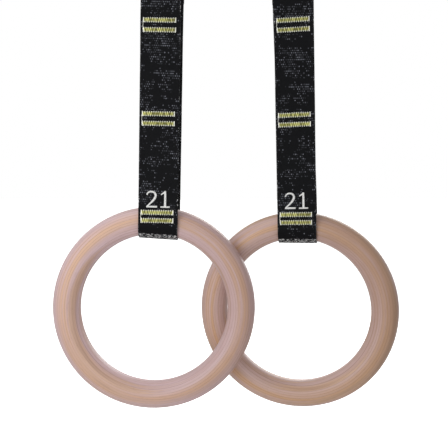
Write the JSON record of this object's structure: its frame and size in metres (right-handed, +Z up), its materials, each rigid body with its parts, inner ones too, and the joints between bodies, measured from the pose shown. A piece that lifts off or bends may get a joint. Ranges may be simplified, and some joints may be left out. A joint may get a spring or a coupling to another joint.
{
  "type": "gymnastics rings",
  "caption": "Pair of round wooden gymnastics rings, each hung from a looped webbing strap with a cam buckle that hooks over a bar.",
  "frame": {"origin": "on the axis of the bar that both straps hang over, midway between the straps", "axes": "+Z up, +X along the bar towards the right ring, +Y away from the face with the number"},
  "size_m": [0.4047, 0.0878, 0.6718],
  "materials": {
    "ring_wood": "clear satin lacquer over laminated birch",
    "webbing": "black woven polyester webbing",
    "mark_thread": "olive yellow sewing thread",
    "number_thread": "off-white printed number",
    "seam_thread": "black bonded sewing thread",
    "buckle_steel": "zinc plated pressed steel",
    "cam_steel": "zinc plated cast cam",
    "pin_steel": "bright riveted steel",
    "spring_steel": "oiled spring steel"
  },
  "bodies": {
    "bar_saddles": {"left_strap_saddle": "webbing", "left_front_flex": "webbing", "left_back_flex": "webbing", "right_strap_saddle": "webbing", "right_front_flex": "webbing", "right_back_flex": "webbing"},
    "left_strap": {"left_front_run": "webbing", "left_ring_loop": "webbing", "left_back_run": "webbing", "left_strap_fold": "webbing", "left_tail": "webbing", "left_tail_hem_stitching": "seam_thread", "left_anchor_strap": "webbing", "left_anchor_stitching": "seam_thread", "left_front_marks": "mark_thread", "left_back_marks": "mark_thread", "left_number_21": "number_thread", "left_buckle_frame": "buckle_steel", "left_anchor_pin": "pin_steel", "left_cam_axle": "pin_steel", "left_cam_spring": "spring_steel"},
    "left_ring": {"left_ring": "ring_wood"},
    "left_cam": {"left_cam_lever": "cam_steel"},
    "right_strap": {"right_front_run": "webbing", "right_ring_loop": "webbing", "right_back_run": "webbing", "right_strap_fold": "webbing", "right_tail": "webbing", "right_tail_hem_stitching": "seam_thread", "right_anchor_strap": "webbing", "right_anchor_stitching": "seam_thread", "right_front_marks": "mark_thread", "right_back_marks": "mark_thread", "right_number_21": "number_thread", "right_buckle_frame": "buckle_steel", "right_anchor_pin": "pin_steel", "right_cam_axle": "pin_steel", "right_cam_spring": "spring_steel"},
    "right_ring": {"right_ring": "ring_wood"},
    "right_cam": {"right_cam_lever": "cam_steel"}
  },
  "joints": [
    {"name": "left_strap_swing", "type": "hinge", "parent": "bar_saddles", "child": "left_strap", "pos_m": [0, 0, 0], "axis": [1, 0, 0], "range_deg": [-60, 0], "deforming": ["left_front_flex", "left_back_flex"]},
    {"name": "left_ring_pitch", "type": "hinge", "parent": "left_strap", "child": "left_ring", "pos_m": [-0.07598, -0.01138, -0.42069], "axis": [0.9978, -0.0018, -0.0663], "range_deg": [-150, 0]},
    {"name": "left_cam_press", "type": "hinge", "parent": "left_strap", "child": "left_cam", "pos_m": [-0.06994, 0.03638, -0.09524], "axis": [0.9998, -0.0006, -0.0185], "range_deg": [0, 20], "stiffness_Nm_per_rad": 0.25, "springref_deg": -20.05, "deforming": ["left_cam_spring"]},
    {"name": "right_strap_swing", "type": "hinge", "parent": "bar_saddles", "child": "right_strap", "pos_m": [0, 0, 0], "axis": [1, 0, 0], "range_deg": [0, 60], "deforming": ["right_front_flex", "right_back_flex"]},
    {"name": "right_ring_pitch", "type": "hinge", "parent": "right_strap", "child": "right_ring", "pos_m": [0.08711, 0.00522, -0.42712], "axis": [0.9839, -0.1789, 0.0048], "range_deg": [0, 150]},
    {"name": "right_cam_press", "type": "hinge", "parent": "right_strap", "child": "right_cam", "pos_m": [0.07717, 0.04004, -0.09371], "axis": [0.9987, -0.0288, 0.0413], "range_deg": [0, 20], "stiffness_Nm_per_rad": 0.25, "springref_deg": -20.05, "deforming": ["right_cam_spring"]}
  ]
}
